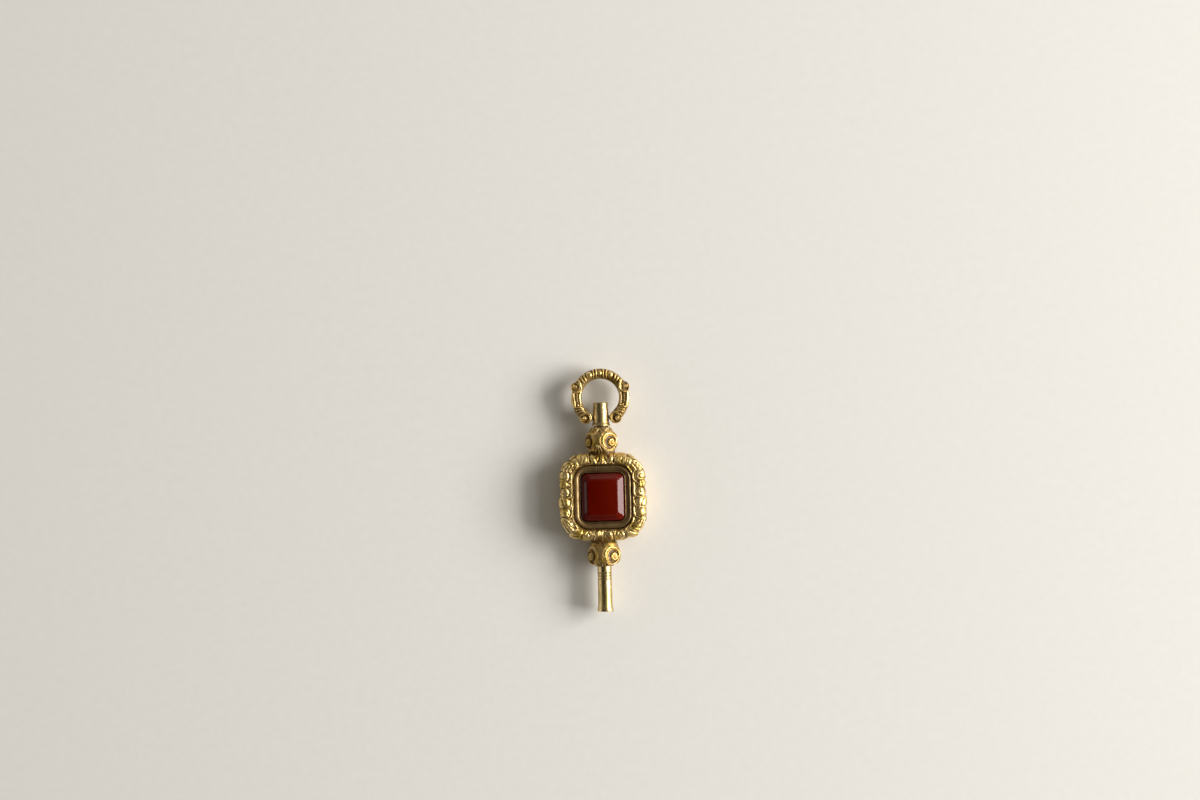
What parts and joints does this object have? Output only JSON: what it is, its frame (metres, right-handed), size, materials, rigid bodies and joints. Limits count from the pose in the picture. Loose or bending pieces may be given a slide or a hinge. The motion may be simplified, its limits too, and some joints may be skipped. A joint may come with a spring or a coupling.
{
  "type": "watch key",
  "caption": "Double-sided fob watch key with a square-socket pipe, a scrolled hollow frame holding two tablet stones, and a swivelling bow",
  "frame": {"origin": "the middle of the winding socket's mouth, on the key's own axis", "axes": "+Y runs along the shank from the pipe to the bow, +Z points out of the front stone, +X is to the right as the key is read"},
  "size_m": [0.0154, 0.0426, 0.006],
  "materials": {
    "gilt_brass": "worn",
    "rose_gilt": "worn",
    "steel": "satin",
    "carnelian": "polished",
    "setting_cement": "matte"
  },
  "bodies": {
    "key_body": {"frame_front": "gilt_brass", "frame_back": "gilt_brass", "bezel_front": "rose_gilt", "bezel_back": "rose_gilt", "stone_front": "carnelian", "stone_back": "carnelian", "stone_bed_front": "setting_cement", "stone_bed_back": "setting_cement", "divider_plate": "gilt_brass", "upper_knop_front": "gilt_brass", "upper_knop_back": "gilt_brass", "lower_knop_front": "gilt_brass", "lower_knop_back": "gilt_brass", "swivel_spindle": "steel", "swivel_washer": "gilt_brass", "pipe_core": "steel", "pipe_sleeve": "gilt_brass"},
    "pendant": {"pendant_tube": "gilt_brass", "pendant_cap": "gilt_brass"},
    "bow": {"bow_front": "gilt_brass", "bow_back": "gilt_brass", "bow_pin_left": "steel", "bow_pin_right": "steel"}
  },
  "joints": [
    {"name": "bow_swivel", "type": "hinge", "parent": "key_body", "child": "pendant", "pos_m": [0, 0.03242, 0], "axis": [0, 1, 0], "continuous": true},
    {"name": "bow_swing", "type": "hinge", "parent": "pendant", "child": "bow", "pos_m": [0, 0.03392, 0], "axis": [1, 0, 0], "range_deg": [-90, 90]}
  ]
}
